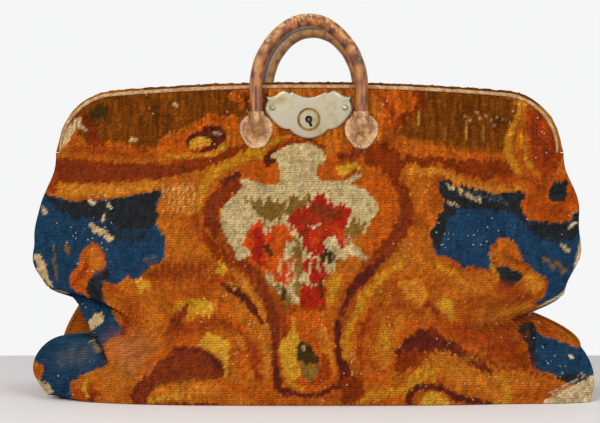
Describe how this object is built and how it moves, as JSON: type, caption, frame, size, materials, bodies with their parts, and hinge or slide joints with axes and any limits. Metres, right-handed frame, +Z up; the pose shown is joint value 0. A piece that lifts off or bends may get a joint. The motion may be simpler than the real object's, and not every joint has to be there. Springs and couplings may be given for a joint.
{
  "type": "carpet bag",
  "caption": "Victorian carpet bag of patterned wool carpet on two hinged steel jaws, with a key lock, folded side gussets and rolled leather handles sewn on with stitched tabs",
  "frame": {"origin": "middle of the base, on the floor", "axes": "+X along the bag to the right of the lock side, +Y from front to back, +Z up"},
  "size_m": [0.5199, 0.17, 0.3577],
  "materials": {
    "carpet": "worn wool pile",
    "gusset_cloth": "worn wool pile",
    "base_cloth": "plain cloth over board",
    "steel": "aged",
    "nickel": "worn nickel plate",
    "brass": "dulled",
    "binding": "worn",
    "handle_leather": "polished by use",
    "tab_leather": "scuffed"
  },
  "bodies": {
    "bag": {"front_panel": "carpet", "back_panel": "carpet", "base_panel": "base_cloth", "left_gusset": "gusset_cloth", "right_gusset": "gusset_cloth", "left_hinge_pin": "steel", "right_hinge_pin": "steel"},
    "front_jaw": {"front_frame": "steel", "front_hinge_eyes": "steel", "front_flap": "carpet", "front_binding": "binding", "lock_plate": "nickel", "keyhole_ring": "brass", "keyhole_disc": "nickel", "key_post": "steel", "lock_case": "steel", "lock_cover": "steel", "lock_rivets": "nickel", "bolt_spring": "steel", "front_handle": "handle_leather", "front_left_tab": "tab_leather", "front_right_tab": "tab_leather", "front_tab_studs": "brass"},
    "back_jaw": {"back_frame": "steel", "back_hinge_links": "steel", "back_flap": "carpet", "staple": "steel", "staple_rivets": "steel", "back_handle": "handle_leather", "back_left_tab": "tab_leather", "back_right_tab": "tab_leather", "back_tab_studs": "brass"},
    "lock_bolt": {"lock_bolt": "brass"}
  },
  "joints": [
    {"name": "front_jaw_hinge", "type": "hinge", "parent": "bag", "child": "front_jaw", "pos_m": [0, 0, 0.2236], "axis": [1, 0, 0], "range_deg": [0, 45]},
    {"name": "back_jaw_hinge", "type": "hinge", "parent": "bag", "child": "back_jaw", "pos_m": [0, 0, 0.2236], "axis": [-1, 0, 0], "range_deg": [0, 45]},
    {"name": "bolt_slide", "type": "slide", "parent": "front_jaw", "child": "lock_bolt", "axis": [1, 0, 0], "range_m": [0, 0.008]}
  ]
}
